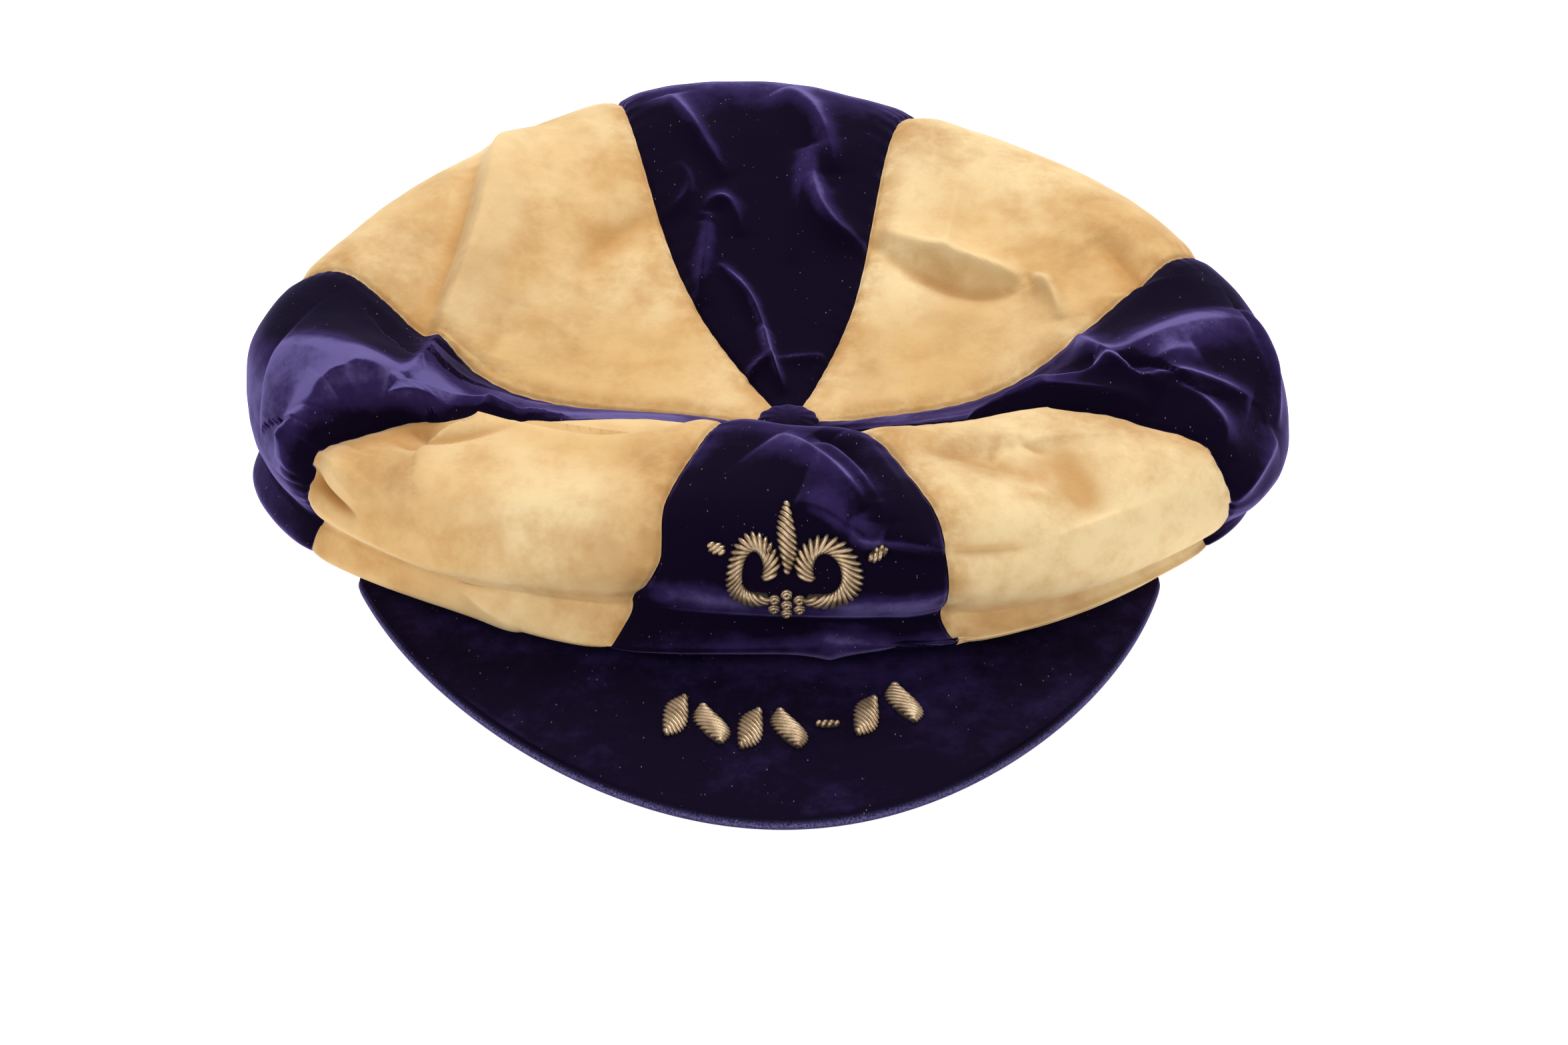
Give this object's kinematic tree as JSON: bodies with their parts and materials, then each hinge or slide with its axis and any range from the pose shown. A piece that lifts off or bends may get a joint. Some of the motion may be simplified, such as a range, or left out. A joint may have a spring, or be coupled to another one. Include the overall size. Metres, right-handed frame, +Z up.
{
  "type": "football honours cap",
  "caption": "Floppy panelled velvet honours cap with a wide stiff peak, a covered button and raised bullion ornament, lying on its rim with an open head hole.",
  "frame": {"origin": "centre of the bounding box's base, on the table that the cap lies on", "axes": "+Z up through the crown, -Y the way the peak points, +X to the wearer's left"},
  "size_m": [0.2612, 0.2672, 0.0643],
  "materials": {
    "purple_velvet": "dark violet cotton velvet, worn paler along folds and edges",
    "cream_velvet": "yellowed cream velvet with pale and brown patches",
    "bullion_wire": "tarnished coiled gold wire, laid in slanting strands"
  },
  "bodies": {
    "root": {"crown_panel_front": "purple_velvet", "crown_panel_front_right": "cream_velvet", "crown_panel_right": "purple_velvet", "crown_panel_back_right": "cream_velvet", "crown_panel_back": "purple_velvet", "crown_panel_back_left": "cream_velvet", "crown_panel_left": "purple_velvet", "crown_panel_front_left": "cream_velvet", "crown_button": "purple_velvet", "peak": "purple_velvet", "badge_scroll_left": "bullion_wire", "badge_scroll_right": "bullion_wire", "badge_leaf": "bullion_wire", "badge_leaf_left": "bullion_wire", "badge_leaf_right": "bullion_wire", "badge_knot_1": "bullion_wire", "badge_knot_2": "bullion_wire", "badge_knot_3": "bullion_wire", "badge_knot_4": "bullion_wire", "badge_knot_5": "bullion_wire", "badge_knot_6": "bullion_wire", "badge_knot_7": "bullion_wire", "peak_sprig_1": "bullion_wire", "peak_sprig_2": "bullion_wire", "peak_sprig_3": "bullion_wire", "peak_sprig_4": "bullion_wire", "peak_sprig_5": "bullion_wire", "peak_sprig_6": "bullion_wire", "peak_bar": "bullion_wire"}
  },
  "joints": []
}
